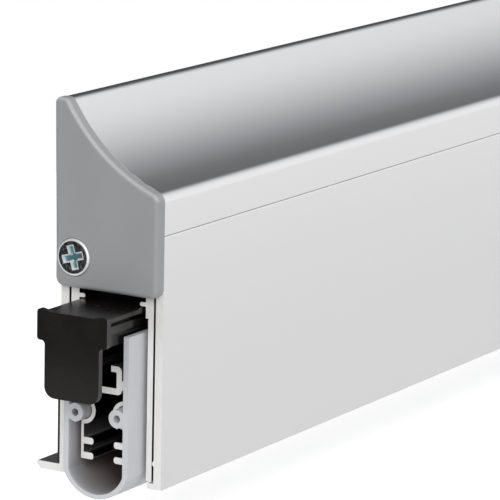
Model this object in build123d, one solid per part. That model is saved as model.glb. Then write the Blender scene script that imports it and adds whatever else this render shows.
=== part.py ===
from build123d import *
from math import atan2, cos, hypot, sin, sqrt
import os

# Surface-mounted automatic door bottom seal.
# X runs along the door, the plunger is at the low X end, the front cover faces -Y, +Z is up.
# Depths are counted from the door-side face towards the front, heights from the underside.
# The frame's origin is the middle of the row of fixing holes, on the door-side face.

# Overall
length = 335.0
top_height = 59.5
fixing_height = 36.3
cut_past = 1.0

# Base profile
back_wall = 1.5
cove_radius = 30.5
cove_wall = 1.5
land_width = 2.0
nose_height = 46.0
front_wall = 1.35
land_round = 1.2
back_round = 0.9
nose_round = 1.6
split_height = 39.7
split_gap = 0.06
split_round = 0.3
shelf_wall = 1.2
flange_reach = 4.4
flange_wall = 1.25
flange_bevel = 0.9
ledge_reach = 1.3
ledge_wall = 0.75
rail_wall = 1.15
rail_height = 4.8
rail_setback = 1.1

# Cap screw, its channel, and the fixing holes
screw_depth = 3.55
screw_height = 35.0
screw_shank = 1.15
screw_length = 11.0
screw_head_radius = 2.92
screw_head_height = 1.25
screw_head_proud = 0.32
screw_head_round = 0.3
screw_pocket_gap = 0.08
recess_arm = 1.8
recess_width = 1.0
recess_round = 0.3
recess_depth = 0.7
recess_taper = 14.0
recess_turn = -16.0
channel_radius = 1.2
channel_wall = 1.15
channel_slit = 0.9
fixing_inset = 57.5
fixing_radius = 2.25
access_width = 9.0

# Front cover
cover_gap = 0.35
cover_drop = 0.2
hook_wall = 0.95
hook_setback = 0.9
hook_round = 0.4
bead_height = 3.9
bead_radius = 0.45
bead_clearance = 0.05
clip_wall = 0.8
clip_drop = 1.15
clip_gap = 0.15

# Sealing tape on the door side
tape_wall = 0.4
tape_height = 19.0
tape_start = 0.35

# End caps
cap_wall = 2.0
cap_bottom = 30.1
cap_edge_round = 0.8
cap_corner_round = 1.4
cap_lean = 0.35
boss_radius = 3.15
cap_hole = 1.6
lug_length = 4.0
lug_gap = 0.25
rear_lug_width = 2.7
rear_lug_height = 8.0
rear_lug_drop = 2.0
nose_lug_width = 3.1

# Mechanism housing
housing_width = 15.0
housing_bottom = 1.0
housing_height = 30.2
housing_wall = 1.0
upper_wall = 1.45
upper_wall_bottom = 26.6
housing_roof = 1.2
side_gap = 0.4
shelf_gap = 0.4
rib_drop = 0.95
rib_wall = 0.65
rib_reach = 1.53

# Screws that hold the mechanism housing under the shelf
housing_screw_inset = 32.5
housing_screw_radius = 1.0
housing_screw_head_radius = 1.9
housing_screw_head_height = 1.2
housing_screw_tip = 0.5

# Seal
seal_gap = 0.65
seal_wall = 0.93
seal_top = 24.35
seal_corner = 2.1
seal_sag = 4.03
seal_floor = 0.7
seal_overhang = 4.35
tube_radius = 1.45
tube_bore = 0.6
tube_height = 11.3
tube_inset = 1.12
neck_height = 2.3
nib_half = 0.6
nib_reach = 0.12

# Drop carrier
carrier_overhang = 2.0
channel_half = 2.2
channel_side = 0.96
channel_top_round = 0.86
channel_foot_round = 0.77
lip_reach = 1.0
lip_wall = 0.95
web_bottom = 14.4
web_wall = 1.0
channel_top = 18.9
shoulder_top = 16.7
shoulder_bottom = 15.2
leg_gap = 0.8
leg_wall = 0.45
leg_bottom = 3.5
hook_clearance = 0.15
hook_thickness = 0.66
neck_clearance = 0.15
carrier_rib_wall = 1.05
carrier_rib_reach = 1.8
carrier_rib_round = 0.42
upper_rib_height = 5.87

# Plunger
travel = 5.6
plate_wall = 1.0
plate_stand_off = 11.3
plate_top = 28.65
plate_step = 23.8
plate_bottom = 14.95
ear_side_gap = 0.2
plate_side_gap = 1.6
plate_round = 1.8
ear_round = 0.5
ear_root_round = 0.6
dip_start = 5.7
dip_end = 3.4
dip_round = 1.5
stem_side_gap = 0.57
stem_top = 28.25
stem_bottom = 23.3
stem_depth = 14.0
stem_dome = 0.12
slab_side_gap = 0.35
slab_wall = 0.75
slab_round = 0.3
stem_rib_reach = 0.7
stem_rib_bottom = 25.5
stem_rib_wall = 1.15
mark_reach = 7.2
mark_radius = 0.9
mark_depth = 0.08
wing_gap = 0.15
wing_wall = 0.55
wing_start = 3.0
wing_side_gap = 0.3

# Linkage
drop = 8.0
pivot_height = 25.8
lever_rise = 8.0
lever_half = 1.0
lever_eye = 1.65
pivot_radius = 1.0
carrier_pin = 0.9
middle_pin = 0.8
pin_fit = 0.02
running_fit = 0.05
open_play = 0.12
link_eye = 1.8
cheek_gap = 0.2
cheek_wall = 0.95
linkage_inset = 72.5

# Slide strip, and the stud and nut that join it to the plunger
strip_side_gap = 0.4
strip_wall = 1.2
strip_bottom = 27.8
strip_start = 22.0
strip_lug = 3.0
strip_lug_bottom = 23.6
clevis_half = 1.9
stud_radius = 1.5
stud_length = 22.0
stud_grip = 8.0
nut_width = 5.5
nut_wall = 2.4

# Bearing blocks
block_left = 6.0
block_right = 8.0
block_cheek_gap = 0.47
block_cheek_wall = 1.2
block_bottom = 23.9
block_roof_gap = 0.15
block_ledge_reach = 0.8
block_ledge_wall = 0.8
block_ledge_gap = 0.2
block_side_gap = 0.3

# Carrier blocks
foot_gap = 0.15
foot_left = 7.0
foot_right = 10.5
foot_slot_left = 5.0
foot_slot_right = 2.5
tower_half = 2.9
tower_top = 19.9
notch_gap = 0.7

# Return springs
spring_offset = 5.5
anchor_height = 25.9
anchor_radius = 0.6
spring_radius = 1.45
spring_wire = 0.25
spring_turns = 5.5
spring_pitch = 0.55
spring_ring = 0.95
lower_anchor_height = 20.4
lower_anchor_radius = 0.5
ear_half = 1.1
ear_wall = 0.6
ear_height = 0.8

# Places that follow from the sizes
near_end = -length / 2
far_end = length / 2
linkage_places = (near_end + linkage_inset, far_end - linkage_inset)
centre_depth = back_wall + side_gap + housing_width / 2
housing_front = centre_depth + housing_width / 2
housing_inner = housing_width / 2 - housing_wall
upper_inner = housing_width / 2 - upper_wall
rail_front = housing_front - rail_setback
cover_inside = housing_front + cover_gap
profile_depth = cover_inside + front_wall
housing_top = housing_bottom + housing_height
roof_under = housing_top - housing_roof
rib_top = roof_under - rib_drop
shelf_bottom = housing_top + shelf_gap
shelf_top = shelf_bottom + shelf_wall
rail_top = shelf_top + rail_height
inner_cove_radius = cove_radius + cove_wall
seal_half = housing_inner - seal_gap
seal_inner = seal_half - seal_wall
leg_outer = seal_inner - leg_gap
tube_offset = seal_inner - tube_inset
rib_tip = housing_inner - rib_reach
stem_half = rib_tip - stem_side_gap
slab_half = upper_inner - slab_side_gap
ear_half_width = housing_inner - ear_side_gap
plate_half = housing_inner - plate_side_gap
block_cheek_outer = rib_tip - block_cheek_gap
block_cheek_inner = block_cheek_outer - block_cheek_wall
strip_half = block_cheek_inner - strip_side_gap
lever_run = (travel**2 + (lever_rise + drop) ** 2 - lever_rise**2) / (2 * travel)
lever_length = hypot(lever_run, lever_rise)
start_angle = atan2(lever_rise, lever_run)
end_angle = atan2(lever_rise + drop, lever_run - travel)
carrier_pin_height = pivot_height - lever_rise


def section_plane(x):
    """Cross-section plane: depth to the right, height up, extruding towards -X."""
    return Plane(origin=(x, 0, -fixing_height), x_dir=(0, -1, 0), z_dir=(-1, 0, 0))


def bar(section, x_low, x_high):
    """Straight profile of one cross-section in depth and height."""
    return extrude(section_plane(x_high) * section, x_high - x_low)


def centred_bar(section, x_low, x_high):
    """Profile whose cross-section is drawn about the middle plane of the mechanism."""
    return bar(Pos(centre_depth, 0) * section, x_low, x_high)


def plate(outline, side_low, side_high):
    """Flat piece drawn in X and height, between two distances from the middle plane."""
    front = Plane(
        origin=(0, -(centre_depth + side_low), -fixing_height), x_dir=(1, 0, 0), z_dir=(0, -1, 0)
    )
    return extrude(front * outline, side_high - side_low)


def both_sides(outline, side_low, side_high):
    """Two equal flat pieces, one on each side of the middle plane."""
    return plate(outline, side_low, side_high) + plate(outline, -side_high, -side_low)


def polygon(*points):
    return make_face(Polyline(*points, close=True))


def rectangle(low, high):
    """Face between two opposite corners."""
    return polygon(low, (high[0], low[1]), high, (low[0], high[1]))


def disc(centre, radius):
    return Pos(*centre) * Circle(radius)


def pin(x, height, radius, half_length):
    """Round pin across the mechanism."""
    return plate(disc((x, height), radius), -half_length, half_length)


def rounded(face, radius, *corners):
    """Rounds the named corners of a flat face."""
    picked = [
        min(face.vertices(), key=lambda v: (v.X - corner[0]) ** 2 + (v.Y - corner[1]) ** 2)
        for corner in corners
    ]
    return fillet(picked, radius)


def stadium(start, end, radius):
    """Flat bar with round ends."""
    run = (end[0] - start[0], end[1] - start[1])
    size = hypot(*run)
    side = (-run[1] / size * radius, run[0] / size * radius)
    body = polygon(
        (start[0] + side[0], start[1] + side[1]),
        (end[0] + side[0], end[1] + side[1]),
        (end[0] - side[0], end[1] - side[1]),
        (start[0] - side[0], start[1] - side[1]),
    )
    return body + disc(start, radius) + disc(end, radius)


# Cove arc shared by the base profile and the end caps
def cove_centre():
    start = Vector(land_width, top_height)
    end = Vector(profile_depth, nose_height)
    half = (end - start) * 0.5
    rise = sqrt(cove_radius**2 - half.length**2)
    normal = Vector(-half.Y, half.X).normalized()
    return start + half + normal * rise


def cove_height(depth, radius):
    """Height of an arc about the cove's centre at a depth."""
    centre = cove_centre()
    return centre.Y - sqrt(radius**2 - (centre.X - depth) ** 2)


def cove_arc(depth_start, depth_end, radius):
    ends = [(depth, cove_height(depth, radius)) for depth in (depth_start, depth_end)]
    middle = (depth_start + depth_end) / 2
    return ThreePointArc(ends[0], (middle, cove_height(middle, radius)), ends[1])


# Base profile
def base_section():
    inner_rear = (back_wall, cove_height(back_wall, inner_cove_radius))
    inner_front = (cover_inside, cove_height(cover_inside, inner_cove_radius))
    nose_bottom = split_height + split_gap
    shell = make_face(
        [
            Polyline((back_wall, 0), (0, 0), (0, top_height), (land_width, top_height)),
            cove_arc(land_width, profile_depth, cove_radius),
            Polyline(
                (profile_depth, nose_height),
                (profile_depth, nose_bottom),
                (cover_inside, nose_bottom),
                inner_front,
            ),
            cove_arc(cover_inside, back_wall, inner_cove_radius),
            Line(inner_rear, (back_wall, 0)),
        ]
    )
    shell = rounded(shell, back_round, (0, top_height))
    shell = rounded(shell, land_round, (land_width, top_height))
    shell = rounded(shell, nose_round, (profile_depth, nose_height))
    flange = polygon(
        (0, 0),
        (flange_bevel - flange_reach, 0),
        (-flange_reach, flange_bevel),
        (-flange_reach + flange_wall - flange_bevel, flange_wall),
        (0, flange_wall),
    )
    ledge = rectangle((back_wall, 0), (back_wall + ledge_reach, ledge_wall))
    shelf = rectangle((back_wall, shelf_bottom), (rail_front, shelf_top))
    rail = rectangle((rail_front - rail_wall, shelf_bottom), (rail_front, rail_top))
    place = (screw_depth, screw_height)
    channel = disc(place, channel_radius + channel_wall)
    slit_end = screw_depth + channel_radius + channel_wall + cut_past
    slit = rectangle(
        (screw_depth, screw_height - channel_slit / 2), (slit_end, screw_height + channel_slit / 2)
    )
    return shell + flange + ledge + shelf + rail + channel - disc(place, channel_radius) - slit


def fixing_places():
    return (near_end + fixing_inset, far_end - fixing_inset)


def make_base():
    profile = bar(base_section(), near_end, far_end)
    channel_reach = screw_depth + channel_radius + channel_wall + cut_past
    for x in fixing_places():
        access = rectangle((back_wall, shelf_top), (channel_reach, split_height))
        profile -= bar(access, x - access_width / 2, x + access_width / 2)
        hole = Cylinder(fixing_radius, back_wall + 2 * cut_past, rotation=(90, 0, 0))
        profile -= Pos(x, -back_wall / 2, 0) * hole
    return profile - housing_screw_bores()


# Front cover
def make_cover():
    hook_start = housing_front - hook_setback
    wall = rectangle((cover_inside, -cover_drop), (profile_depth, split_height))
    wall = rounded(wall, split_round, (profile_depth, split_height))
    hook = rectangle((hook_start, -cover_drop), (profile_depth, hook_wall - cover_drop))
    hook = rounded(hook, hook_round, (hook_start, -cover_drop), (hook_start, hook_wall - cover_drop))
    bead = disc((housing_front + bead_clearance + bead_radius, bead_height), bead_radius)
    clip_under = rail_top + clip_gap
    lip_front = rail_front - rail_wall - clip_gap
    arm = rectangle((lip_front - clip_wall, clip_under), (cover_inside, clip_under + clip_wall))
    lip = rectangle((lip_front - clip_wall, clip_under - clip_drop), (lip_front, clip_under))
    return bar(wall + hook + bead + arm + lip, near_end, far_end)


# Sealing tape
def make_tape():
    bottom = flange_wall + tape_start
    return bar(rectangle((-tape_wall, bottom), (0, bottom + tape_height)), near_end, far_end)


# End caps
def cap_section():
    """Outline of the base profile's top, with a back edge that leans out on to the tape."""
    rear_top = (-cap_lean, top_height)
    outline = make_face(
        [
            Polyline((profile_depth, cap_bottom), (0, cap_bottom), (0, screw_height), rear_top),
            Line(rear_top, (land_width, top_height)),
            cove_arc(land_width, profile_depth, cove_radius),
            Line((profile_depth, nose_height), (profile_depth, cap_bottom)),
        ]
    )
    outline = rounded(outline, cap_corner_round, (0, cap_bottom), (profile_depth, cap_bottom))
    outline = rounded(outline, back_round, rear_top)
    outline = rounded(outline, land_round, (land_width, top_height))
    return rounded(outline, nose_round, (profile_depth, nose_height))


def make_cap(end, outward):
    """End cap on one end plane; outward is -1 at the low X end and +1 at the high X end."""
    face_x = end + outward * cap_wall
    low = min(end, face_x)
    high = max(end, face_x)
    body = bar(cap_section(), low, high)
    face_edges = body.edges().filter_by(lambda edge: abs(edge.center().X - face_x) < 1e-6)
    body = fillet(face_edges, cap_edge_round)
    place = (screw_depth, screw_height)
    body += bar(disc(place, boss_radius), low, high)
    inner_x = end - outward * lug_length
    rear_edge = back_wall + lug_gap
    nose_edge = cover_inside - lug_gap
    rear_bottom = nose_height - rear_lug_drop
    nose_bottom = split_height + 2 * lug_gap
    nose_top = cove_height(nose_edge, inner_cove_radius) - lug_gap
    lugs = rectangle((rear_edge, rear_bottom), (rear_edge + rear_lug_width, rear_bottom + rear_lug_height))
    lugs += rectangle((nose_edge - nose_lug_width, nose_bottom), (nose_edge, nose_top))
    body += bar(lugs, min(end, inner_x), max(end, inner_x))
    seat_x = face_x - outward * (screw_head_height - screw_head_proud)
    pocket = disc(place, screw_head_radius + screw_pocket_gap)
    mouth_x = face_x + outward * cut_past
    body -= bar(pocket, min(seat_x, mouth_x), max(seat_x, mouth_x))
    return body - bar(disc(place, cap_hole), low - cut_past, high + cut_past)


def screw_recess():
    """Cross-shaped driver recess, flared at its inner corners."""
    cross = Rectangle(2 * recess_arm, recess_width) + Rectangle(recess_width, 2 * recess_arm)
    half = recess_width / 2
    inner_corners = [(x, y) for x in (-half, half) for y in (-half, half)]
    return Rot(0, 0, recess_turn) * rounded(cross, recess_round, *inner_corners)


def make_cap_screw(end, outward):
    top_x = end + outward * (cap_wall + screw_head_proud)
    seat_x = top_x - outward * screw_head_height
    tip_x = top_x - outward * screw_length
    place = (screw_depth, screw_height)
    head = bar(disc(place, screw_head_radius), min(seat_x, top_x), max(seat_x, top_x))
    rim = head.edges().filter_by(lambda edge: abs(edge.center().X - top_x) < 1e-6)
    head = fillet(rim, screw_head_round)
    inward = Plane(
        origin=(top_x, -screw_depth, screw_height - fixing_height), x_dir=(0, 1, 0), z_dir=(-outward, 0, 0)
    )
    head -= extrude(inward * screw_recess(), recess_depth, taper=recess_taper)
    return head + bar(disc(place, screw_shank), min(seat_x, tip_x), max(seat_x, tip_x))


# Screws through the shelf into the housing's roof
def upright(x, radius, low, high):
    """Vertical cylinder in the middle plane, between two heights."""
    middle = (low + high) / 2 - fixing_height
    return Pos(x, -centre_depth, middle) * Cylinder(radius, high - low)


def housing_screw_places():
    return (near_end + housing_screw_inset, far_end - housing_screw_inset)


def housing_screw_bores():
    bore = housing_screw_radius + running_fit
    low = roof_under - cut_past
    high = shelf_top + cut_past
    return [upright(x, bore, low, high) for x in housing_screw_places()]


def make_housing_screws():
    screws = []
    for x in housing_screw_places():
        head_top = shelf_top + housing_screw_head_height
        head = upright(x, housing_screw_head_radius, shelf_top, head_top)
        rim = head.edges().sort_by(Axis.Z)[-1]
        head = fillet(rim, housing_screw_head_height / 2)
        screws.append(head + upright(x, housing_screw_radius, roof_under - housing_screw_tip, shelf_top))
    return screws


# Mechanism housing
def make_housing():
    half = housing_width / 2
    outer = rectangle((-half, housing_bottom), (half, housing_top))
    outer = rounded(outer, housing_wall / 2, (-half, housing_top), (half, housing_top))
    inner = housing_inner
    section = outer - rectangle((-inner, housing_bottom - cut_past), (inner, upper_wall_bottom))
    section -= rectangle((-upper_inner, upper_wall_bottom), (upper_inner, roof_under))
    for side in (-1, 1):
        tip = side * (rib_tip + rib_wall / 2)
        rib = rectangle(
            (min(tip, side * inner), rib_top - rib_wall), (max(tip, side * inner), rib_top)
        )
        section += rib + disc((tip, rib_top - rib_wall / 2), rib_wall / 2)
    return centred_bar(section, near_end, far_end) - housing_screw_bores()


# Seal
def make_seal():
    half = seal_half
    inner = seal_inner
    deepest = seal_corner - seal_sag
    outer = make_face(
        [
            Polyline((-half, seal_corner), (-half, seal_top), (half, seal_top), (half, seal_corner)),
            ThreePointArc((half, seal_corner), (0, deepest), (-half, seal_corner)),
        ]
    )
    above = seal_top + cut_past
    hollow = make_face(
        [
            Polyline((-inner, seal_corner), (-inner, above), (inner, above), (inner, seal_corner)),
            ThreePointArc((inner, seal_corner), (0, deepest + seal_floor), (-inner, seal_corner)),
        ]
    )
    section = outer - hollow
    for side in (-1, 1):
        tube = (side * tube_offset, tube_height)
        wall_side = side * (inner + seal_wall / 2)
        neck_low = (min(tube[0], wall_side), tube_height - neck_height / 2)
        neck_high = (max(tube[0], wall_side), tube_height + neck_height / 2)
        nib = polygon(
            (tube[0] - nib_half, tube_height - tube_radius + nib_half / 2),
            (tube[0] + nib_half, tube_height - tube_radius + nib_half / 2),
            (tube[0], tube_height - tube_radius - nib_reach),
        )
        section += disc(tube, tube_radius) + nib + rectangle(neck_low, neck_high)
        section -= disc(tube, tube_bore)
    return centred_bar(section, near_end - seal_overhang, far_end + seal_overhang)


# Drop carrier
def carrier_half():
    """The carrier's section on the +side of the middle plane."""
    channel_outer = channel_half + channel_side
    web = rectangle((0, web_bottom), (channel_outer, web_bottom + web_wall))
    wall = rectangle((channel_half, web_bottom), (channel_outer, channel_top))
    lip = rectangle((channel_half - lip_reach, channel_top - lip_wall), (channel_outer, channel_top))
    shoulder = rectangle((channel_half, shoulder_bottom), (leg_outer, shoulder_top))
    leg = rectangle((leg_outer - leg_wall, leg_bottom), (leg_outer, shoulder_top))
    section = web + wall + lip + shoulder + leg
    section = rounded(section, channel_top_round, (channel_outer, channel_top))
    section = rounded(section, channel_foot_round, (channel_outer, web_bottom))
    tube = (tube_offset, tube_height)
    inner = tube_radius + hook_clearance
    hook = disc(tube, inner + hook_thickness)
    section += hook & rectangle((0, 0), (leg_outer, shoulder_top))
    neck_half = neck_height / 2 + neck_clearance
    opening = rectangle(
        (tube_offset, tube_height - neck_half), (leg_outer + cut_past, tube_height + neck_half)
    )
    section -= disc(tube, inner) + opening
    for bottom in (leg_bottom, upper_rib_height):
        tip = leg_outer - leg_wall - carrier_rib_reach
        rib = rectangle((tip, bottom), (leg_outer - leg_wall / 2, bottom + carrier_rib_wall))
        rib = rounded(rib, carrier_rib_round, (tip, bottom), (tip, bottom + carrier_rib_wall))
        section += rib
    return section


def make_carrier():
    half = carrier_half()
    section = half + mirror(half, Plane.YZ)
    carrier = centred_bar(section, near_end - carrier_overhang, far_end + carrier_overhang)
    for x in linkage_places:
        notch_bottom = channel_top - lip_wall - running_fit
        notch = rectangle((-channel_half, notch_bottom), (channel_half, channel_top + cut_past))
        notch_low = x - tower_half - notch_gap
        notch_high = x + spring_offset + ear_half + notch_gap
        carrier -= centred_bar(notch, notch_low, notch_high)
    return carrier


# Plunger
def stem_section():
    """Stem with a wider slab on top, and a rib along each side."""
    slab_bottom = stem_top - slab_wall
    top_left = (-slab_half, stem_top)
    top_right = (slab_half, stem_top)
    slab = make_face(
        [
            Polyline(top_left, (-slab_half, slab_bottom), (slab_half, slab_bottom), top_right),
            ThreePointArc(top_right, (0, stem_top + stem_dome), top_left),
        ]
    )
    slab = rounded(slab, slab_round, top_left, top_right)
    rib_half = stem_half + stem_rib_reach
    rib = rectangle((-rib_half, stem_rib_bottom), (rib_half, stem_rib_bottom + stem_rib_wall))
    return slab + rib + rectangle((-stem_half, stem_bottom), (stem_half, stem_top))


def make_plunger():
    face_x = near_end - plate_stand_off
    shape = rectangle((-plate_half, plate_bottom), (plate_half, plate_top))
    shape = rounded(shape, plate_round, (-plate_half, plate_bottom), (plate_half, plate_bottom))
    ears = rectangle((-ear_half_width, plate_step), (ear_half_width, plate_top))
    ear_corners = [(side * ear_half_width, z) for side in (-1, 1) for z in (plate_step, plate_top)]
    ears = rounded(ears, ear_round, *ear_corners)
    roots = [(side * plate_half, plate_step) for side in (-1, 1)]
    outline = rounded(shape + ears, ear_root_round, *roots)
    dip_ends = [(side * dip_end, stem_top) for side in (-1, 1)]
    dip = polygon((-dip_start, plate_top), dip_ends[0], dip_ends[1], (dip_start, plate_top))
    outline = rounded(outline - dip, dip_round, *dip_ends)
    plunger = centred_bar(outline, face_x, face_x + plate_wall)
    plunger += centred_bar(stem_section(), face_x, near_end + stem_depth)
    plunger -= upright(face_x + mark_reach, mark_radius, stem_top + stem_dome - mark_depth, plate_top)
    wing_bottom = rib_top + wing_gap
    wing_half = upper_inner - wing_side_gap
    wings = rectangle((-wing_half, wing_bottom), (wing_half, wing_bottom + wing_wall))
    wings += rectangle((-stem_half, stem_top), (stem_half, wing_bottom))
    plunger += centred_bar(wings, near_end + wing_start, near_end + stem_depth)
    bore = disc((0, pivot_height), stud_radius + running_fit)
    end_x = near_end + stem_depth
    return plunger - centred_bar(bore, end_x - stud_grip - running_fit, end_x + cut_past)


def make_stud():
    start = near_end + stem_depth - stud_grip
    return centred_bar(disc((0, pivot_height), stud_radius), start, start + stud_length)


def make_nut():
    nut_end = near_end + strip_start - running_fit
    section = Pos(0, pivot_height) * RegularPolygon(nut_width / 2, 6, major_radius=False)
    section -= disc((0, pivot_height), stud_radius + running_fit)
    return centred_bar(section, nut_end - nut_wall, nut_end)


# Slide strip with its clevises
def slide_pivot(x):
    """X of the pivot that joins a lever to the slide, for the linkage at x."""
    return x - lever_run


def make_strip():
    start = near_end + strip_start
    strip_top = strip_bottom + strip_wall
    end = slide_pivot(linkage_places[-1]) + 2 * clevis_half
    strip = centred_bar(rectangle((-strip_half, strip_bottom), (strip_half, strip_top)), start, end)
    lug = rectangle((-strip_half, strip_lug_bottom), (strip_half, strip_top))
    lug -= disc((0, pivot_height), stud_radius + running_fit)
    strip += centred_bar(lug, start, start + strip_lug)
    cheek_inner = lever_half + cheek_gap
    for place in linkage_places:
        x = slide_pivot(place)
        cheek = rectangle((x - clevis_half, pivot_height), (x + clevis_half, strip_top))
        cheek += disc((x, pivot_height), clevis_half)
        cheek -= disc((x, pivot_height), pivot_radius + pin_fit)
        strip += both_sides(cheek, cheek_inner, cheek_inner + cheek_wall)
    return strip


def make_slide_pins():
    half = lever_half + cheek_gap + cheek_wall
    return [pin(slide_pivot(x), pivot_height, pivot_radius, half) for x in linkage_places]


# Levers, links and their pins
def carrier_pin_place(x):
    return (x, carrier_pin_height)


def middle_pin_place(x):
    return (x - lever_run / 2, pivot_height - lever_rise / 2)


def make_lever(x):
    slide_end = (slide_pivot(x), pivot_height)
    outline = stadium(slide_end, carrier_pin_place(x), lever_eye)
    outline -= disc(slide_end, pivot_radius + running_fit)
    outline -= disc(carrier_pin_place(x), carrier_pin + pin_fit)
    outline -= disc(middle_pin_place(x), middle_pin + pin_fit)
    return plate(outline, -lever_half, lever_half)


def make_lever_pins(x):
    half = lever_half + cheek_gap + cheek_wall
    lower_half = channel_half - foot_gap
    lower = pin(*carrier_pin_place(x), carrier_pin, lower_half)
    middle = pin(*middle_pin_place(x), middle_pin, half)
    return [lower, middle]


# At mid travel the turning lever runs a little ahead of the straight-line drop.
# The open pivots are centred on that drift and are wide enough for it.
mid_angle = (start_angle + end_angle) / 2
drift_x = lever_length * cos(mid_angle) - (lever_run - travel / 2)
drift_z = lever_length * sin(mid_angle) - (lever_rise + drop / 2)
carrier_hole = carrier_pin + hypot(drift_x, drift_z) / 2 + open_play
middle_run = lever_run - travel / 2 - lever_length / 2 * cos(mid_angle)
middle_rise = lever_length / 2 * sin(mid_angle)
middle_reach = hypot(middle_run, middle_rise)
link_length = (lever_length / 2 + middle_reach) / 2
link_lead = (atan2(middle_rise, middle_run) - mid_angle) / 2
link_drift = hypot((lever_length / 2 - middle_reach) / 2, middle_reach * link_lead)
link_hole = middle_pin + link_drift + open_play


def make_link(x):
    angle = start_angle + link_lead
    frame_end = (x, pivot_height)
    free_end = (x - link_length * cos(angle), pivot_height - link_length * sin(angle))
    cheek = stadium(frame_end, free_end, link_eye)
    cheek_inner = lever_half + cheek_gap
    link = both_sides(cheek, cheek_inner, cheek_inner + cheek_wall)
    link += pin(*frame_end, link_eye, cheek_inner)
    link -= pin(*frame_end, pivot_radius + running_fit, housing_width)
    return link - pin(*free_end, link_hole, housing_width)


# Bearing blocks that hang on the housing's ribs
def make_bearing_block(x):
    low = x - block_left
    high = x + block_right
    roof_half = upper_inner - block_side_gap
    roof_bottom = rib_top + block_roof_gap
    roof_top = roof_under - block_roof_gap
    section = rectangle((-roof_half, roof_bottom), (roof_half, roof_top))
    ledge_top = strip_bottom - block_ledge_gap
    ledge_bottom = ledge_top - block_ledge_wall
    for side in (-1, 1):
        edges = sorted((side * block_cheek_inner, side * block_cheek_outer))
        section += rectangle((edges[0], block_bottom), (edges[1], roof_bottom))
        edges = sorted((side * (block_cheek_inner - block_ledge_reach), side * block_cheek_inner))
        section += rectangle((edges[0], ledge_bottom), (edges[1], ledge_top))
    block = centred_bar(section, low, high)
    block -= pin(x, pivot_height, pivot_radius + pin_fit, housing_width)
    return block - pin(x + spring_offset, anchor_height, anchor_radius + pin_fit, housing_width)


def make_frame_pins(x):
    half = block_cheek_outer
    pivot = pin(x, pivot_height, pivot_radius, half)
    anchor = pin(x + spring_offset, anchor_height, anchor_radius, half)
    return [pivot, anchor]


# Carrier blocks that sit in the carrier's channel
def make_carrier_block(x):
    foot_half = channel_half - foot_gap
    foot_bottom = web_bottom + web_wall + running_fit
    foot_top = channel_top - lip_wall - 2 * running_fit
    foot = rectangle((x - foot_left, foot_bottom), (x + foot_right, foot_top))
    block = plate(foot, -foot_half, foot_half)
    slot_half = lever_half + cheek_gap
    tower = rectangle((x - tower_half, foot_bottom), (x + tower_half, tower_top))
    tower = rounded(tower, tower_half / 2, (x - tower_half, tower_top), (x + tower_half, tower_top))
    block += both_sides(tower, slot_half, foot_half)
    ear_x = x + spring_offset
    ear_top = lower_anchor_height + ear_height
    ear = rectangle((ear_x - ear_half, foot_bottom), (ear_x + ear_half, ear_top))
    block += both_sides(ear, foot_half - ear_wall, foot_half)
    block += pin(ear_x, lower_anchor_height, lower_anchor_radius, foot_half)
    slot = rectangle(
        (x - foot_slot_left, foot_bottom - cut_past), (x + foot_slot_right, tower_top + cut_past)
    )
    block -= plate(slot, -slot_half, slot_half)
    hole_x = x + drift_x / 2
    hole_height = carrier_pin_height - drift_z / 2
    return block - pin(hole_x, hole_height, carrier_hole, housing_width)


# Return springs
def make_spring(x):
    """Extension spring between the frame's anchor pin and the carrier block's bar."""
    coil_height = spring_turns * spring_pitch
    coil_bottom = (anchor_height + lower_anchor_height - coil_height) / 2
    place = Pos(x + spring_offset, -centre_depth, coil_bottom - fixing_height)
    path = Helix(spring_pitch, coil_height, spring_radius)
    start = Plane(origin=path @ 0, z_dir=path % 0)
    wire = place * sweep(start * Circle(spring_wire), path=path)
    for anchor, end, side in ((lower_anchor_height, 0, 1), (anchor_height, coil_height, -1)):
        spoke = Cylinder(spring_wire, spring_radius, rotation=(0, 90, 0))
        wire += place * Pos(side * spring_radius / 2, 0, end) * spoke
        ring = Torus(spring_ring, spring_wire, rotation=(90, 0, 0))
        ring_height = anchor - coil_bottom
        wire += place * Pos(0, 0, ring_height) * ring
        gap = abs(ring_height - end) - spring_ring
        if gap > 0:
            post_middle = end + (gap / 2 if anchor == anchor_height else -gap / 2)
            wire += place * Pos(0, 0, post_middle) * Cylinder(spring_wire, gap + spring_wire)
    return wire


def make_parts():
    near, far = linkage_places
    screws = [make_cap_screw(near_end, -1), make_cap_screw(far_end, 1)]
    parts = {
        "base_profile": make_base(),
        "front_cover": make_cover(),
        "sealing_tape": make_tape(),
        "end_cap_near": make_cap(near_end, -1),
        "end_cap_far": make_cap(far_end, 1),
        "cap_screws": Compound(children=screws),
        "mechanism_housing": make_housing(),
        "housing_screws": Compound(children=make_housing_screws()),
        "seal_profile": make_seal(),
        "drop_carrier": make_carrier(),
        "plunger": make_plunger(),
        "plunger_stud": make_stud(),
        "lock_nut": make_nut(),
        "slide_strip": make_strip(),
        "slide_pins": Compound(children=make_slide_pins()),
        "frame_pins": Compound(children=make_frame_pins(near) + make_frame_pins(far)),
    }
    for end, x in (("near", near), ("far", far)):
        parts[f"lever_{end}"] = make_lever(x)
        parts[f"lever_pins_{end}"] = Compound(children=make_lever_pins(x))
        parts[f"link_{end}"] = make_link(x)
        parts[f"bearing_block_{end}"] = make_bearing_block(x)
        parts[f"carrier_block_{end}"] = make_carrier_block(x)
        parts[f"return_spring_{end}"] = make_spring(x)
    return parts


if __name__ == "__main__":
    os.makedirs("parts", exist_ok=True)
    for name, shape in make_parts().items():
        export_step(shape, f"parts/{name}.step")
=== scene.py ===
import math

import bpy
from bpy.props import FloatProperty, FloatVectorProperty, PointerProperty
from bpy.types import Operator, Panel, PropertyGroup
from mathutils import Matrix, Vector


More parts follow.
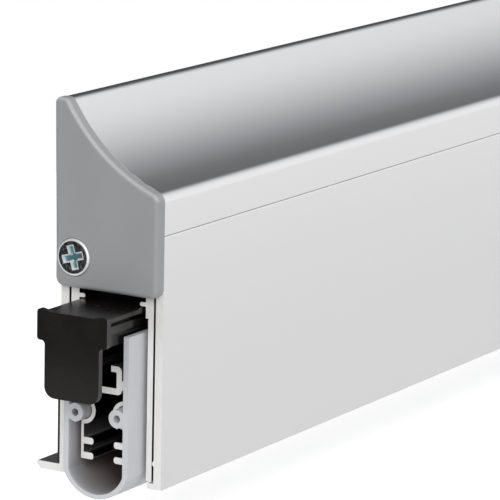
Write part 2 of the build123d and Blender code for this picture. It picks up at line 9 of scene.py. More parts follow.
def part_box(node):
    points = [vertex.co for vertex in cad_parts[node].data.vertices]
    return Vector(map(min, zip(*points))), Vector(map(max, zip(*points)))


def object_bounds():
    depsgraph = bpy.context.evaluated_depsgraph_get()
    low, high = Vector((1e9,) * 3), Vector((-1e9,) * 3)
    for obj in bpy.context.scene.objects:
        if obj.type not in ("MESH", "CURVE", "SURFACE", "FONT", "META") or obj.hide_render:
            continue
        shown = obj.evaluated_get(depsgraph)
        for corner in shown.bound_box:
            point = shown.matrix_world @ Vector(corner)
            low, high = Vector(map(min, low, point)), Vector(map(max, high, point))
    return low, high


bl_info = {
    "name": "Door Bottom Seal Finishes",
    "version": (1, 0, 0),
    "blender": (4, 5, 0),
    "location": "View3D > Sidebar > Door Seal",
    "description": "Gives an automatic door bottom seal its finishes and sets the studio around it",
    "category": "Object",
}

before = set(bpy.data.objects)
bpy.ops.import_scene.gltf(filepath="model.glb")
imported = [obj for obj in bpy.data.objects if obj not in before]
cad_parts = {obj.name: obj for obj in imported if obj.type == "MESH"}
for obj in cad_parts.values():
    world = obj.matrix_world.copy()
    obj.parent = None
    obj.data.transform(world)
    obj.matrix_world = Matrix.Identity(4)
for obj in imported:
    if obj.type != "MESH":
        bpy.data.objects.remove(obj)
CAD_BOX = [list(corner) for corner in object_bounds()]

# Pieces that share a finish
PROFILES = {"base_profile": "Base", "front_cover": "Cover", "mechanism_housing": "Housing"}
END_CAPS = ("end_cap_near", "end_cap_far")
BRIGHT_FASTENERS = (
    "housing_screws",
    "plunger_stud",
    "lock_nut",
    "slide_pins",
    "frame_pins",
    "lever_pins_near",
    "lever_pins_far",
)
PLATED_LINKAGE = ("slide_strip", "lever_near", "lever_far", "link_near", "link_far")
SPRINGS = ("return_spring_near", "return_spring_far")
BLOCKS = ("bearing_block_near", "bearing_block_far", "carrier_block_near", "carrier_block_far")

# Space inside each profile: its distance in X, Y and Z from the low and from the high corner of the piece
INNER_WALLS = {
    "base_profile": ((0.0, 0.0014, 0.0012), (0.0, 0.0059, 0.0202)),
    "front_cover": ((0.0, 0.0013, 0.001), (0.0, 0.0, 0.0008)),
    "mechanism_housing": ((0.0, 0.0012, -0.001), (0.0, 0.0012, 0.0011)),
    "drop_carrier": ((0.0, 0.0012, 0.0004), (0.0, 0.0012, 0.0006)),
    "seal_profile": ((0.0, 0.0008, 0.0004), (0.0, 0.0008, -0.001)),
}

# Span that a noise's values mostly fill
NOISE_SPAN = (0.3, 0.7)

# Drawn and sawn aluminium
ANODISED = {"rough": 0.3, "line_depth": 0.0000005, "spread": 0.004}
MILL_FINISH = {"rough": 0.4, "line_depth": 0.00001, "spread": 0.04}
BAND_SHARE = 0.12
BAND_TINT = 0.2
BAND_ROUGHNESS = 0.008
SAW_SLANT = 24.0
SAW_STRETCH = (0.02, 1.0, 0.06)
SAW_MARK_SPAN = (0.35, 0.65)
SQUARE_CUT = (0.9, 0.97)
SAWN_SHADE = 0.95
SAWN_ROUGHNESS = 0.55
SAWN_METALLIC = 0.2

# Moulded and plated pieces
SKIN_ROUGHNESS = 0.05
# Painted light on the caps' rounded upper edges: how much paler they are painted, and where it fades in off
# the end face, off the side faces and towards the top.
PAINTED_LIGHT_SHARE = 1.4
LEAVES_END_FACE = (0.72, 0.97)
LEAVES_SIDE_FACE = (0.12, 0.5)
LOOKS_UP = (0.05, 0.5)
SIDE_PAINTED_LIGHT_SHARE = 0.25
# Painted shade inside the seal: how far in from its ends it begins and reaches full depth, and how fast it
# deepens.
SEAL_MOUTH = 0.01
SEAL_LIP = 0.0003
SEAL_SHADE_CURVE = 0.45
PLATED_ROUGHNESS = 0.08
PLATED_GRAIN = 0.000004

# Cap screws: where the painted highlight on the rim, the painted highlight on the lip and the sunk faces
# fade in, and the cross recess with its turn
RIM_FADE = (0.00042, 0.0003)
LIP_FADE = (0.00008, 0.0002)
SUNK_FADE = (0.00012, 0.00004)
RECESS_REACH = (0.002, 0.0021)
RECESS_ARM = 0.0018
RECESS_HALF_WIDTH = 0.0005
RECESS_TURN = -16.0
HEAD_EDGE = 0.00012
SCREW_GRAIN = 0.00003
SHARP_ANGLE = 50.0
SPECKLE = 0.55
SPECKLE_SPAN = (0.42, 0.6)
FACE_ROUGHNESS = 0.16
RECESS_ROUGHNESS = 0.42
RIM_AND_LIP_ROUGHNESS = 0.45
RIM_AND_LIP_METALLIC = 0.45

# Studio: places in metres, angles in degrees, and the span of sky that turns from front to rear
FLOOR_HALF_LENGTH = 0.27
FLOOR_HALF_DEPTH = 0.17
FLOOR_COLOUR = (0.82, 0.82, 0.82)
FLOOR_ROUGHNESS = 0.9
FLOOR_GLOW = 0.62
FLOOR_GLOW_IN_GLOSS = 0.38
REAR_SKY = (-0.47, 0.29)
WHITE = (1.0, 1.0, 1.0)
COOL_WHITE = (0.90, 0.97, 1.0)
LAMP_PLACE = (-1.3, -0.65, 0.75)
LAMP_TARGET = (-0.1, 0.0, 0.0)
LAMP_WIDTH = 0.8
CAMERA_PLACE = (-0.63044, -0.30459, 0.11559)
CAMERA_HEADING = 30.342
CAMERA_TILT = 11.833
CAMERA_ROLL = 1.1986
SENSOR_WIDTH = 36.0
NEAREST_SEEN = 0.01


# Node helpers
def add(tree, kind, **values):
    """New node with its plain properties set."""
    node = tree.nodes.new(kind)
    for name, value in values.items():
        setattr(node, name, value)
    return node


def feed(tree, source, target):
    """Links a socket, or sets a number or colour, into an input socket."""
    if isinstance(source, bpy.types.NodeSocket):
        tree.links.new(source, target)
    else:
        target.default_value = source


def math_node(tree, operation, first, second=None):
    node = add(tree, "ShaderNodeMath", operation=operation)
    feed(tree, first, node.inputs[0])
    if second is not None:
        feed(tree, second, node.inputs[1])
    return node.outputs[0]


def vector_node(tree, operation, first, second=None, output="Vector"):
    node = add(tree, "ShaderNodeVectorMath", operation=operation)
    feed(tree, first, node.inputs[0])
    if second is not None:
        feed(tree, second, node.inputs[1])
    return node.outputs[output]


def coordinates(tree):
    return add(tree, "ShaderNodeTexCoord").outputs


def split(tree, vector):
    """X, Y and Z of a vector."""
    node = add(tree, "ShaderNodeSeparateXYZ")
    feed(tree, vector, node.inputs[0])
    return node.outputs


def join(tree, x, y, z):
    """Vector from its X, Y and Z."""
    node = add(tree, "ShaderNodeCombineXYZ")
    for source, side in zip((x, y, z), "XYZ"):
        feed(tree, source, node.inputs[side])
    return node.outputs[0]


def turn_about_length(tree, vector, degrees):
    node = add(tree, "ShaderNodeMapping")
    feed(tree, vector, node.inputs["Vector"])
    node.inputs["Rotation"].default_value = (math.radians(degrees), 0.0, 0.0)
    return node.outputs[0]


def remap(tree, value, old, new=(0.0, 1.0), smooth=False):
    """Turns one span of a value into another, held at both ends."""
    node = add(tree, "ShaderNodeMapRange", clamp=True)
    if smooth:
        node.interpolation_type = "SMOOTHSTEP"
    feed(tree, value, node.inputs["Value"])
    for name, number in zip(("From Min", "From Max", "To Min", "To Max"), (*old, *new)):
        node.inputs[name].default_value = number
    return node.outputs["Result"]


def blend_colour(tree, factor, first, second):
    node = add(tree, "ShaderNodeMix", data_type="RGBA")
    feed(tree, factor, node.inputs["Factor"])
    for source, socket in ((first, node.inputs[6]), (second, node.inputs[7])):
        if not isinstance(source, bpy.types.NodeSocket):
            source = (*source, 1.0)
        feed(tree, source, socket)
    return node.outputs[2]


def blend_value(tree, factor, first, second):
    node = add(tree, "ShaderNodeMix", data_type="FLOAT")
    feed(tree, factor, node.inputs["Factor"])
    feed(tree, first, node.inputs[2])
    feed(tree, second, node.inputs[3])
    return node.outputs[0]


def blend_vector(tree, first, second):
    """Vector half way between two."""
    node = add(tree, "ShaderNodeMix", data_type="VECTOR")
    feed(tree, first, node.inputs[4])
    feed(tree, second, node.inputs[5])
    return node.outputs[1]


def two_tone(tree, value, first, second, span=NOISE_SPAN):
    """Colour that goes from one tone to the other over a span of a noise's values."""
    return blend_colour(tree, remap(tree, value, span), first, second)


def shaded(colour, share):
    return [channel * share for channel in colour]


def noise(tree, place, scale, detail, roughness):
    node = add(tree, "ShaderNodeTexNoise")
    feed(tree, place, node.inputs["Vector"])
    feed(tree, scale, node.inputs["Scale"])
    node.inputs["Detail"].default_value = detail
    node.inputs["Roughness"].default_value = roughness
    return node.outputs["Fac"]


def bump(tree, height, depth):
    node = add(tree, "ShaderNodeBump")
    feed(tree, height, node.inputs["Height"])
    node.inputs["Distance"].default_value = depth
    node.inputs["Strength"].default_value = 1.0
    return node.outputs["Normal"]


# Effects that more than one finish uses
def new_effect(name, inputs, outputs):
    """Empty node group: inputs as (name, kind, default), outputs as names of numbers."""
    group = bpy.data.node_groups.new(name, "ShaderNodeTree")
    for label, kind, value in inputs:
        socket = group.interface.new_socket(label, in_out="INPUT", socket_type=kind)
        socket.default_value = value
    for label in outputs:
        group.interface.new_socket(label, in_out="OUTPUT", socket_type="NodeSocketFloat")
    return group, add(group, "NodeGroupInput").outputs, add(group, "NodeGroupOutput").inputs


def drawn_lines_effect():
    """Fine lines that run the length of an extruded profile, and broader bands among them."""
    group, given, result = new_effect(
        "Drawn Lines",
        [("Lines per Metre", "NodeSocketFloat", 5200.0), ("Waver", "NodeSocketFloat", 14.0)],
        ["Lines", "Bands"],
    )
    place = coordinates(group)["Object"]
    for output, share in (("Lines", 1.0), ("Bands", BAND_SHARE)):
        across = math_node(group, "MULTIPLY", given["Lines per Metre"], share)
        drawn = vector_node(group, "MULTIPLY", place, join(group, given["Waver"], across, across))
        feed(group, noise(group, drawn, scale=1.0, detail=3.0, roughness=0.6), result[output])
    return group


def sawn_end_effect():
    """Picks the faces that the saw cut square to the length, and draws its tooth marks there."""
    group, given, result = new_effect(
        "Sawn End", [("Marks per Metre", "NodeSocketFloat", 1900.0)], ["End", "Marks"]
    )
    places = coordinates(group)
    along = math_node(group, "ABSOLUTE", split(group, places["Normal"])["X"])
    feed(group, remap(group, along, SQUARE_CUT), result["End"])
    slanted = turn_about_length(group, places["Object"], SAW_SLANT)
    marks = vector_node(group, "MULTIPLY", slanted, SAW_STRETCH)
    teeth = noise(group, marks, given["Marks per Metre"], detail=2.0, roughness=0.7)
    feed(group, teeth, result["Marks"])
    return group


def moulded_skin_effect():
    """Fine grain and slow mottling of a moulded, extruded or plated surface."""
    group, given, result = new_effect(
        "Moulded Skin",
        [("Grain per Metre", "NodeSocketFloat", 3000.0), ("Mottle per Metre", "NodeSocketFloat", 120.0)],
        ["Grain", "Mottle"],
    )
    place = coordinates(group)["Object"]
    grain = noise(group, place, given["Grain per Metre"], detail=2.0, roughness=0.6)
    mottle = noise(group, place, given["Mottle per Metre"], detail=3.0, roughness=0.55)
    feed(group, grain, result["Grain"])
    feed(group, mottle, result["Mottle"])
    return group


def inner_faces_effect():
    """Picks the faces inside a box of depth and height, and those of them that look to its middle."""
    group, given, result = new_effect(
        "Inner Faces",
        [("Low", "NodeSocketVector", (0.0, 0.0, 0.0)), ("High", "NodeSocketVector", (0.0, 0.0, 0.0))],
        ["Inside", "Facing"],
    )
    places = coordinates(group)
    place = split(group, places["Object"])
    low = split(group, given["Low"])
    high = split(group, given["High"])
    inside = 1.0
    for side in ("Y", "Z"):
        above = math_node(group, "GREATER_THAN", place[side], low[side])
        below = math_node(group, "LESS_THAN", place[side], high[side])
        inside = math_node(group, "MULTIPLY", inside, math_node(group, "MULTIPLY", above, below))
    feed(group, inside, result["Inside"])
    middle = blend_vector(group, given["Low"], given["High"])
    inward = vector_node(group, "SUBTRACT", middle, places["Object"])
    across = vector_node(group, "MULTIPLY", inward, (0.0, 1.0, 1.0))
    toward = vector_node(group, "DOT_PRODUCT", across, places["Normal"], output="Value")
    facing = math_node(group, "GREATER_THAN", toward, 0.0)
    feed(group, math_node(group, "MULTIPLY", inside, facing), result["Facing"])
    return group


EFFECTS = {}


def effect(tree, name, **values):
    """Places a shared effect in a material with its own values and returns its outputs."""
    if not EFFECTS:
        for make in (drawn_lines_effect, sawn_end_effect, moulded_skin_effect, inner_faces_effect):
            group = make()
            EFFECTS[group.name] = group
    node = add(tree, "ShaderNodeGroup", node_tree=EFFECTS[name])
    for label, value in values.items():
        node.inputs[label.replace("_", " ")].default_value = value
    return node.outputs


def inner_faces(tree, piece):
    """The inner faces of a profile, from its box and its walls."""
    low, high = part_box(piece)
    low_walls, high_walls = INNER_WALLS[piece]
    space_low = [side + wall for side, wall in zip(low, low_walls)]
    space_high = [side - wall for side, wall in zip(high, high_walls)]
    return effect(tree, "Inner Faces", Low=space_low, High=space_high)


# Finishes
def new_finish(name):
    material = bpy.data.materials.new(name)
    material.use_nodes = True
    tree = material.node_tree
    return material, tree, tree.nodes["Principled BSDF"].inputs


def drawn_metal(name, piece, colours, rough, line_depth, spread):
    """Extruded aluminium: drawn lines along it, pale sawn ends and painted shade on the inner faces."""
    material, tree, shader = new_finish(name)
    lines = effect(tree, "Drawn Lines")
    end = effect(tree, "Sawn End")
    drawn = blend_value(tree, BAND_TINT, lines["Lines"], lines["Bands"])
    darker = shaded(colours.aluminium, 1.0 - spread)
    lighter = shaded(colours.aluminium, 1.0 + spread)
    side = two_tone(tree, drawn, darker, lighter)
    # Painted shade: the inner faces are painted in the near-black inside colour, where little light reaches.
    side = blend_colour(tree, inner_faces(tree, piece)["Inside"], side, colours.inside)
    cut = two_tone(tree, end["Marks"], shaded(colours.sawn, SAWN_SHADE), colours.sawn, SAW_MARK_SPAN)
    feed(tree, blend_colour(tree, end["End"], side, cut), shader["Base Color"])
    side_rough = remap(tree, lines["Bands"], NOISE_SPAN, (rough - BAND_ROUGHNESS, rough + BAND_ROUGHNESS))
    feed(tree, blend_value(tree, end["End"], side_rough, SAWN_ROUGHNESS), shader["Roughness"])
    feed(tree, remap(tree, end["End"], (0.0, 1.0), (1.0, SAWN_METALLIC)), shader["Metallic"])
    height = blend_value(tree, end["End"], lines["Lines"], end["Marks"])
    feed(tree, bump(tree, height, line_depth), shader["Normal"])
    return material


def moulded_plastic(name, colour, rough, grain_depth, spread, shine=0.5):
    """Moulded plastic with a fine skin."""
    material, tree, shader = new_finish(name)
    skin = effect(tree, "Moulded Skin")
    darker = shaded(colour, 1.0 - spread)
    lighter = shaded(colour, 1.0 + spread)
    feed(tree, two_tone(tree, skin["Mottle"], darker, lighter), shader["Base Color"])
    rough_span = (rough - SKIN_ROUGHNESS, rough + SKIN_ROUGHNESS)
    feed(tree, remap(tree, skin["Mottle"], NOISE_SPAN, rough_span), shader["Roughness"])
    feed(tree, bump(tree, skin["Grain"], grain_depth), shader["Normal"])
    shader["Specular IOR Level"].default_value = shine
    return material


def paint_over(material, mask, colour):
    """Lays another colour over a finish where the mask is 1."""
    tree = material.node_tree
    base = tree.nodes["Principled BSDF"].inputs["Base Color"]
    skin = base.links[0].from_socket
    feed(tree, blend_colour(tree, mask, skin, colour), base)


def cap_with_painted_edge_light(name, colour):
    """Moulded cap with painted light on its rounded upper edges, which are painted paler than the face."""
    material = moulded_plastic(name, colour, rough=0.42, grain_depth=0.000008, spread=0.015)
    tree = material.node_tree
    facing = split(tree, coordinates(tree)["Normal"])
    along = math_node(tree, "ABSOLUTE", facing["X"])
    off_end = remap(tree, along, LEAVES_END_FACE, (1.0, 0.0), smooth=True)
    off_side = remap(tree, along, LEAVES_SIDE_FACE, (SIDE_PAINTED_LIGHT_SHARE, 1.0), smooth=True)
    upward = remap(tree, facing["Z"], LOOKS_UP, smooth=True)
    painted_edge_light = math_node(tree, "MULTIPLY", math_node(tree, "MULTIPLY", off_end, off_side), upward)
    # Painted light: the rounded, upward-looking edges are painted paler, as if lit from above.
    paint_over(material, painted_edge_light, shaded(colour, PAINTED_LIGHT_SHARE))
    return material


def soft_seal(name, colour, inside):
    """Soft seal: a smooth skin outside, and painted shade on its inner faces that begins a little way in
    from the ends and deepens inward.
    """
    material = moulded_plastic(name, colour, rough=0.45, grain_depth=0.00001, spread=0.02)
    tree = material.node_tree
    along = math_node(tree, "ABSOLUTE", split(tree, coordinates(tree)["Object"])["X"])
    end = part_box("seal_profile")[1][0]
    depth = remap(tree, along, (end - SEAL_MOUTH, end - SEAL_LIP), (1.0, 0.0))
    painted_shade_depth = math_node(tree, "POWER", depth, SEAL_SHADE_CURVE)
    hollow = inner_faces(tree, "seal_profile")["Facing"]
    # Painted shade: the inner faces are painted darker, more so deeper in from the ends.
    paint_over(material, math_node(tree, "MULTIPLY", hollow, painted_shade_depth), inside)
    return material


def plated_metal(name, colour, rough, spread):
    """Plated steel with faint clouding."""
    material, tree, shader = new_finish(name)
    skin = effect(tree, "Moulded Skin", Grain_per_Metre=5200.0, Mottle_per_Metre=420.0)
    feed(tree, two_tone(tree, skin["Mottle"], shaded(colour, 1.0 - spread), colour), shader["Base Color"])
    rough_span = (rough, rough + PLATED_ROUGHNESS)
    feed(tree, remap(tree, skin["Mottle"], NOISE_SPAN, rough_span), shader["Roughness"])
    feed(tree, bump(tree, skin["Grain"], PLATED_GRAIN), shader["Normal"])
    shader["Metallic"].default_value = 1.0
    return material


def recess_lip(tree, across):
    """Narrow band along the outline of the cross recess."""
    arms = split(tree, turn_about_length(tree, across, RECESS_TURN))
    level = math_node(tree, "ABSOLUTE", arms["Y"])
    upright = math_node(tree, "ABSOLUTE", arms["Z"])
    narrow = math_node(tree, "SUBTRACT", math_node(tree, "MINIMUM", level, upright), RECESS_HALF_WIDTH)
    reach = math_node(tree, "SUBTRACT", math_node(tree, "MAXIMUM", level, upright), RECESS_ARM)
    edge = math_node(tree, "ABSOLUTE", math_node(tree, "MAXIMUM", narrow, reach))
    return remap(tree, edge, LIP_FADE, (1.0, 0.0))


def cap_screw_masks(tree):
    """The rim of a cap screw's head, the lip of its recess, and the inside of the recess."""
    low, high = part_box("cap_screws")
    middle = (0.0, (low[1] + high[1]) / 2, (low[2] + high[2]) / 2)
    head_radius = (high[1] - low[1]) / 2
    apart = split(tree, vector_node(tree, "SUBTRACT", coordinates(tree)["Object"], middle))
    mirrored = math_node(tree, "MULTIPLY", apart["Y"], math_node(tree, "SIGN", apart["X"]))
    across = join(tree, 0.0, mirrored, apart["Z"])
    radius = vector_node(tree, "LENGTH", across, output="Value")
    rim = remap(tree, radius, [head_radius - width for width in RIM_FADE])
    along = math_node(tree, "ABSOLUTE", apart["X"])
    sunk = remap(tree, along, [high[0] - depth for depth in SUNK_FADE], (1.0, 0.0))
    inside = math_node(tree, "MULTIPLY", sunk, remap(tree, radius, RECESS_REACH, (1.0, 0.0)))
    return rim, recess_lip(tree, across), inside


def cap_screw_metal(name, bright, dark, recess):
    """Zinc plating with a painted highlight on the head's rim and round the recess, a painted dark
    reflection on the face, and bluish in the recess.
    """
    material, tree, shader = new_finish(name)
    skin = effect(tree, "Moulded Skin", Grain_per_Metre=3200.0, Mottle_per_Metre=2400.0)
    rim, lip, inside = cap_screw_masks(tree)
    # Painted dark reflection: the face of the head is painted dark, with pale speckles.
    mottled = two_tone(tree, skin["Mottle"], dark, bright, SPECKLE_SPAN)
    face = blend_colour(tree, SPECKLE, dark, mottled)
    # Painted highlight: the lip of the recess and the rim of the head are painted near white; the recess
    # itself is bluish.
    colour = blend_colour(tree, lip, blend_colour(tree, inside, face, recess), bright)
    feed(tree, blend_colour(tree, rim, colour, bright), shader["Base Color"])
    rim_and_lip = math_node(tree, "MAXIMUM", rim, lip)
    rough = blend_value(tree, inside, FACE_ROUGHNESS, RECESS_ROUGHNESS)
    feed(tree, blend_value(tree, rim_and_lip, rough, RIM_AND_LIP_ROUGHNESS), shader["Roughness"])
    feed(tree, remap(tree, rim_and_lip, (0.0, 1.0), (1.0, RIM_AND_LIP_METALLIC)), shader["Metallic"])
    feed(tree, bump(tree, skin["Grain"], SCREW_GRAIN), shader["Normal"])
    return material


def soften_edges(name, width):
    """Rounds a piece's sharp edges a little, so that they catch the light."""
    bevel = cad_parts[name].modifiers.new("soft_edges", "BEVEL")
    bevel.width = width
    bevel.segments = 2
    bevel.limit_method = "ANGLE"
    bevel.angle_limit = math.radians(SHARP_ANGLE)


def dress(names, material):
    """Gives pieces a finish."""
    for name in names:
        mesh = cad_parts[name].data
        mesh.materials.clear()
        mesh.materials.append(material)


# Settings that a user would change
def colour_setting(name, description, default):
    return FloatVectorProperty(
        name=name, description=description, default=default, size=3, min=0.0, max=1.0, subtype="COLOR"
    )


class FinishSettings(PropertyGroup):
    aluminium: colour_setting("Aluminium", "Colour of the anodised profiles", (0.62, 0.62, 0.625))
    sawn: colour_setting("Sawn ends", "Colour of the cut ends of the profiles", (0.90, 0.89, 0.87))
    # Painted shade: the near-black colour painted on the profiles' inner faces.
    inside: colour_setting("Inside", "Colour of the profiles' inner faces", (0.035, 0.028, 0.022))
    cap: colour_setting("End caps", "Colour of the moulded end caps", (0.31, 0.316, 0.324))
    seal: colour_setting("Seal", "Colour of the soft seal", (0.61, 0.62, 0.65))
    # Painted shade: the dark colour painted on the seal's inner faces.
    seal_painted_shade: colour_setting("Seal inside", "Colour of the seal's inner faces", (0.135, 0.10, 0.088))
    plunger: colour_setting("Plunger", "Colour of the moulded plunger", (0.007, 0.0055, 0.005))
    tape: colour_setting("Tape", "Colour of the sealing tape", (0.022, 0.022, 0.024))
    bright: colour_setting("Bright steel", "Colour of the small screws and pins", (0.72, 0.79, 0.83))
    # Painted highlight: near white painted on the cap screws' rims and recess lips; also the pale speckle of
    # their faces.
    screw_highlight_and_speckle: colour_setting("Screw rim", "Worn bright rim of the cap screws", (0.88, 0.89, 0.90))
    # Painted dark reflection: the dark colour painted on the cap screws' faces.
    screw_face_dark_reflection: colour_setting("Screw face", "Dark plating of the cap screws", (0.17, 0.16, 0.17))
    screw_recess: colour_setting("Screw recess", "Bluish plating in the driver recess", (0.16, 0.33, 0.38))
    zinc: colour_setting("Zinc", "Colour of the plated linkage", (0.62, 0.63, 0.64))
    wire: colour_setting("Spring wire", "Colour of the return springs", (0.48, 0.48, 0.49))
    block: colour_setting("Blocks", "Colour of the bearing and carrier blocks", (0.80, 0.80, 0.77))


class StudioSettings(PropertyGroup):
    sky: FloatProperty(name="Sky", description="Strength of the light from all round", default=0.68, min=0.0)
    dark_side: FloatProperty(
        name="Dark side", description="Strength of the sky behind the object in gloss", default=0.07, min=0.0
    )
    front: FloatProperty(
        name="Front", description="Strength of the sky before the object in gloss", default=1.35, min=0.0
    )
    key: FloatProperty(
        name="Key light", description="Power of the large lamp", default=9.0, min=0.0, unit="POWER"
    )
    floor_gap: FloatProperty(
        name="Floor gap",
        description="Space under the object for the seal to drop into",
        default=0.0085,
        min=0.0,
        subtype="DISTANCE",
        unit="LENGTH",
    )
    lens: FloatProperty(name="Lens", description="Focal length", default=264.24, min=1.0, unit="CAMERA")


# Operators that dress the pieces
class DOORSEAL_OT_profiles(Operator):
    """Anodise the base profile, the front cover and the mechanism housing"""

    bl_idname = "door_seal.profiles"
    bl_label = "Profiles"

    def execute(self, context):
        colours = context.scene.seal_finishes
        for piece, title in PROFILES.items():
            dress([piece], drawn_metal(f"Anodised {title}", piece, colours, **ANODISED))
        return {"FINISHED"}


class DOORSEAL_OT_carrier(Operator):
    """Give the drop carrier its plain drawn aluminium"""

    bl_idname = "door_seal.carrier"
    bl_label = "Drop carrier"

    def execute(self, context):
        colours = context.scene.seal_finishes
        dress(["drop_carrier"], drawn_metal("Mill Aluminium", "drop_carrier", colours, **MILL_FINISH))
        return {"FINISHED"}


class DOORSEAL_OT_end_caps(Operator):
    """Mould the grey end caps"""

    bl_idname = "door_seal.end_caps"
    bl_label = "End caps"

    def execute(self, context):
        dress(END_CAPS, cap_with_painted_edge_light("Grey Cap", context.scene.seal_finishes.cap))
        return {"FINISHED"}


class DOORSEAL_OT_seal(Operator):
    """Give the seal its soft grey rubber"""

    bl_idname = "door_seal.seal"
    bl_label = "Seal"

    def execute(self, context):
        colours = context.scene.seal_finishes
        dress(["seal_profile"], soft_seal("Grey Seal", colours.seal, colours.seal_painted_shade))
        return {"FINISHED"}


class DOORSEAL_OT_tape(Operator):
    """Give the sealing tape its black foam"""

    bl_idname = "door_seal.tape"
    bl_label = "Sealing tape"

    def execute(self, context):
        colour = context.scene.seal_finishes.tape
        foam = moulded_plastic("Black Tape", colour, rough=0.8, grain_depth=0.00006, spread=0.2)
        dress(["sealing_tape"], foam)
        return {"FINISHED"}


class DOORSEAL_OT_plunger(Operator):
    """Mould the black plunger"""

    bl_idname = "door_seal.plunger"
    bl_label = "Plunger"

    def execute(self, context):
        colour = context.scene.seal_finishes.plunger
        plastic = moulded_plastic(
            "Black Plunger", colour, rough=0.25, grain_depth=0.000006, spread=0.1, shine=0.35
        )
        dress(["plunger"], plastic)
        return {"FINISHED"}


class DOORSEAL_OT_metalwork(Operator):
    """Plate the screws, pins, linkage and springs"""

    bl_idname = "door_seal.metalwork"
    bl_label = "Screws, linkage and springs"

    def execute(self, context):
        colours = context.scene.seal_finishes
        screw = cap_screw_metal("Cap Screw", colours.screw_highlight_and_speckle, colours.screw_face_dark_reflection, colours.screw_recess)
        dress(["cap_screws"], screw)
        soften_edges("cap_screws", HEAD_EDGE)
        dress(BRIGHT_FASTENERS, plated_metal("Bright Steel", colours.bright, rough=0.12, spread=0.06))
        dress(PLATED_LINKAGE, plated_metal("Zinc Steel", colours.zinc, rough=0.32, spread=0.12))
        dress(SPRINGS, plated_metal("Spring Steel", colours.wire, rough=0.25, spread=0.1))
        return {"FINISHED"}


class DOORSEAL_OT_blocks(Operator):
    """Mould the pale bearing and carrier blocks"""

    bl_idname = "door_seal.blocks"
    bl_label = "Blocks"

    def execute(self, context):
        colour = context.scene.seal_finishes.block
        dress(BLOCKS, moulded_plastic("Pale Block", colour, rough=0.5, grain_depth=0.00001, spread=0.03))
        return {"FINISHED"}


# Studio
def place_in_scene(name, data):
    thing = bpy.data.objects.new(name, data)
    bpy.context.scene.collection.objects.link(thing)
    return thing


def floor_glow(tree):
    """Glow that shows the floor white to the camera and through glass, and pale in gloss."""
    path = add(tree, "ShaderNodeLightPath").outputs
    seen = math_node(tree, "MAXIMUM", path["Is Camera Ray"], path["Is Transmission Ray"])
    straight = math_node(tree, "MULTIPLY", seen, FLOOR_GLOW)
    in_gloss = math_node(tree, "MULTIPLY", path["Is Glossy Ray"], FLOOR_GLOW_IN_GLOSS)
    return math_node(tree, "ADD", straight, in_gloss)


def make_floor(height):
    signs = ((-1, -1), (1, -1), (1, 1), (-1, 1))
    corners = [(across * FLOOR_HALF_LENGTH, back * FLOOR_HALF_DEPTH, height) for across, back in signs]
    mesh = bpy.data.meshes.new("studio_floor")
    mesh.from_pydata(corners, [], [(0, 1, 2, 3)])
    material, tree, shader = new_finish("Pale Floor")
    shader["Base Color"].default_value = (*FLOOR_COLOUR, 1.0)
    shader["Roughness"].default_value = FLOOR_ROUGHNESS
    shader["Specular IOR Level"].default_value = 0.0
    shader["Emission Color"].default_value = (*WHITE, 1.0)
    feed(tree, floor_glow(tree), shader["Emission Strength"])
    mesh.materials.append(material)
    place_in_scene("studio_floor", mesh)


def make_world(studio):
    """White all round for the camera; as light, bright in front and dark behind the object."""
    world = bpy.data.worlds.new("studio")
    bpy.context.scene.world = world
    world.use_nodes = True
    tree = world.node_tree
    tree.nodes.clear()
    path = add(tree, "ShaderNodeLightPath").outputs
    direction = split(tree, coordinates(tree)["Generated"])
    rear = remap(tree, direction["Y"], REAR_SKY, smooth=True)
    gloss = remap(tree, rear, (0.0, 1.0), (studio.front, studio.dark_side))
    lit = blend_value(tree, path["Is Glossy Ray"], studio.sky, gloss)
    cool = math_node(tree, "MULTIPLY", rear, path["Is Glossy Ray"])
    background = add(tree, "ShaderNodeBackground")
    feed(tree, blend_colour(tree, cool, WHITE, COOL_WHITE), background.inputs["Color"])
    feed(tree, blend_value(tree, path["Is Camera Ray"], lit, 1.0), background.inputs["Strength"])
    feed(tree, background.outputs[0], add(tree, "ShaderNodeOutputWorld").inputs["Surface"])


def make_lamp(power):
    """Large round lamp before the near end, high up on the left."""
    lamp = bpy.data.lights.new("key_light", "AREA")
    lamp.shape = "DISK"
    lamp.size = LAMP_WIDTH
    lamp.energy = power
    aim = Vector(LAMP_TARGET) - Vector(LAMP_PLACE)
    turn = aim.to_track_quat("-Z", "Y").to_matrix().to_4x4()
    place_in_scene("key_light", lamp).matrix_world = Matrix.Translation(LAMP_PLACE) @ turn


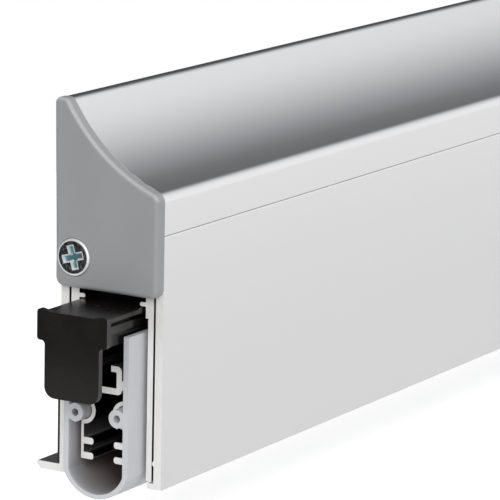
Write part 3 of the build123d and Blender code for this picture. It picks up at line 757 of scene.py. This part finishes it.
def make_camera(lens):
    """Camera that sees the near end of the seal from the front left, a little from above."""
    heading = math.radians(CAMERA_HEADING)
    tilt = math.radians(CAMERA_TILT)
    roll = math.radians(CAMERA_ROLL)
    ahead = Vector((math.cos(heading) * math.cos(tilt), math.sin(heading) * math.cos(tilt), -math.sin(tilt)))
    level_right = ahead.cross(Vector((0, 0, 1))).normalized()
    level_up = level_right.cross(ahead)
    right = math.cos(roll) * level_right + math.sin(roll) * level_up
    up = -math.sin(roll) * level_right + math.cos(roll) * level_up
    turn = Matrix((right, up, -ahead)).transposed().to_4x4()
    camera = bpy.data.cameras.new("camera")
    camera.lens = lens
    camera.sensor_width = SENSOR_WIDTH
    camera.clip_start = NEAREST_SEEN
    holder = place_in_scene("camera", camera)
    holder.matrix_world = Matrix.Translation(CAMERA_PLACE) @ turn
    bpy.context.scene.camera = holder


class DOORSEAL_OT_studio(Operator):
    """Set the floor, the light and the camera"""

    bl_idname = "door_seal.studio"
    bl_label = "Studio"

    def execute(self, context):
        studio = context.scene.seal_studio
        make_floor(CAD_BOX[0][2] - studio.floor_gap)
        make_world(studio)
        make_lamp(studio.key)
        make_camera(studio.lens)
        context.scene.view_settings.view_transform = "Standard"
        return {"FINISHED"}


PIECES = (
    DOORSEAL_OT_profiles,
    DOORSEAL_OT_carrier,
    DOORSEAL_OT_end_caps,
    DOORSEAL_OT_seal,
    DOORSEAL_OT_tape,
    DOORSEAL_OT_plunger,
    DOORSEAL_OT_metalwork,
    DOORSEAL_OT_blocks,
    DOORSEAL_OT_studio,
)


class DOORSEAL_PT_sidebar(Panel):
    """Lists the settings and the steps"""

    bl_idname = "DOORSEAL_PT_sidebar"
    bl_label = "Door Seal"
    bl_space_type = "VIEW_3D"
    bl_region_type = "UI"
    bl_category = "Door Seal"

    def draw(self, context):
        for settings in (context.scene.seal_finishes, context.scene.seal_studio):
            for name in settings.__annotations__:
                self.layout.prop(settings, name)
        for piece in PIECES:
            self.layout.operator(piece.bl_idname)


CLASSES = (FinishSettings, StudioSettings, *PIECES, DOORSEAL_PT_sidebar)


def register():
    for item in CLASSES:
        bpy.utils.register_class(item)
    bpy.types.Scene.seal_finishes = PointerProperty(type=FinishSettings)
    bpy.types.Scene.seal_studio = PointerProperty(type=StudioSettings)


def unregister():
    del bpy.types.Scene.seal_finishes
    del bpy.types.Scene.seal_studio
    for item in reversed(CLASSES):
        bpy.utils.unregister_class(item)


def main():
    register()
    for piece in PIECES:
        group, name = piece.bl_idname.split(".")
        getattr(getattr(bpy.ops, group), name)()


if __name__ == "__main__":
    main()
